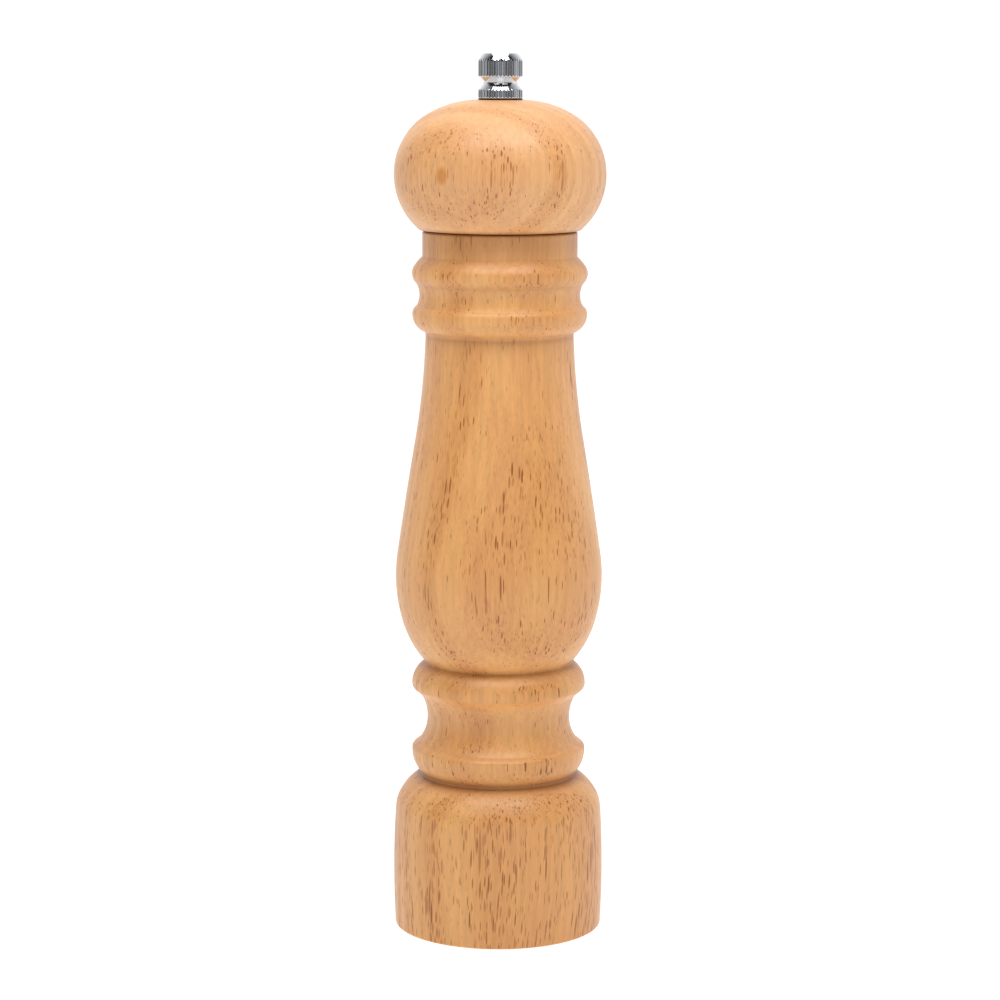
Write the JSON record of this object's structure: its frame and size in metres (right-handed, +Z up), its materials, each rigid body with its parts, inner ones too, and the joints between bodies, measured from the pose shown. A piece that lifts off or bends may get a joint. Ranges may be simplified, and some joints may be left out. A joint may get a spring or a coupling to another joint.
{
  "type": "pepper mill",
  "caption": "Tall turned wooden pepper mill with a cushion-shaped turning head, a steel burr mill in its foot and a knurled chrome top nut that sets the grind.",
  "frame": {"origin": "centre of the foot's underside, where the mill stands", "axes": "+Z up along the spindle towards the top nut; the mill is round, and +X runs through one flange screw and one window of the bridge"},
  "size_m": [0.0612, 0.0612, 0.2541],
  "materials": {
    "rubberwood": "satin clear lacquer",
    "chrome": "polished plate on zinc",
    "burr_steel": "case-hardened, dull grey",
    "zinc_steel": "bright zinc plate",
    "spring_steel": "drawn wire",
    "aluminium": "drawn bar",
    "dark_steel": "black oxide"
  },
  "bodies": {
    "mill_body": {"wooden_body": "rubberwood", "stator_ring": "burr_steel", "spindle_bridge": "zinc_steel", "retaining_flange": "zinc_steel", "flange_screws": "zinc_steel"},
    "spring": {"grind_spring": "spring_steel"},
    "spindle": {"square_spindle": "aluminium", "rotor": "burr_steel", "spring_washer": "zinc_steel", "rotor_washer": "zinc_steel", "retaining_clip": "dark_steel"},
    "head": {"wooden_head": "rubberwood", "drive_plate": "zinc_steel", "drive_plate_screws": "zinc_steel"},
    "washer": {"nut_washer": "dark_steel"},
    "nut": {"top_nut": "chrome"}
  },
  "joints": [
    {"name": "head_turn", "type": "hinge", "parent": "mill_body", "child": "spring", "pos_m": [0, 0, 0.2], "axis": [0, 0, 1], "continuous": true},
    {"name": "grind_adjust", "type": "slide", "parent": "spring", "child": "spindle", "axis": [0, 0, 1], "range_m": [-0.0012, 0.0004], "deforming": ["grind_spring"]},
    {"name": "head_lift", "type": "slide", "parent": "spring", "child": "head", "axis": [0, 0, 1], "range_m": [0, 0.065]},
    {"name": "nut_lift", "type": "slide", "parent": "head", "child": "washer", "axis": [0, 0, 1], "range_m": [0, 0.015]},
    {"name": "nut_turn", "type": "hinge", "parent": "washer", "child": "nut", "pos_m": [0, 0, 0.247], "axis": [0, 0, 1], "range_deg": [-180, 540]}
  ],
  "couplings": [
    {"joint": "nut_turn", "follows": "grind_adjust", "rad_per_m": -7854}
  ]
}
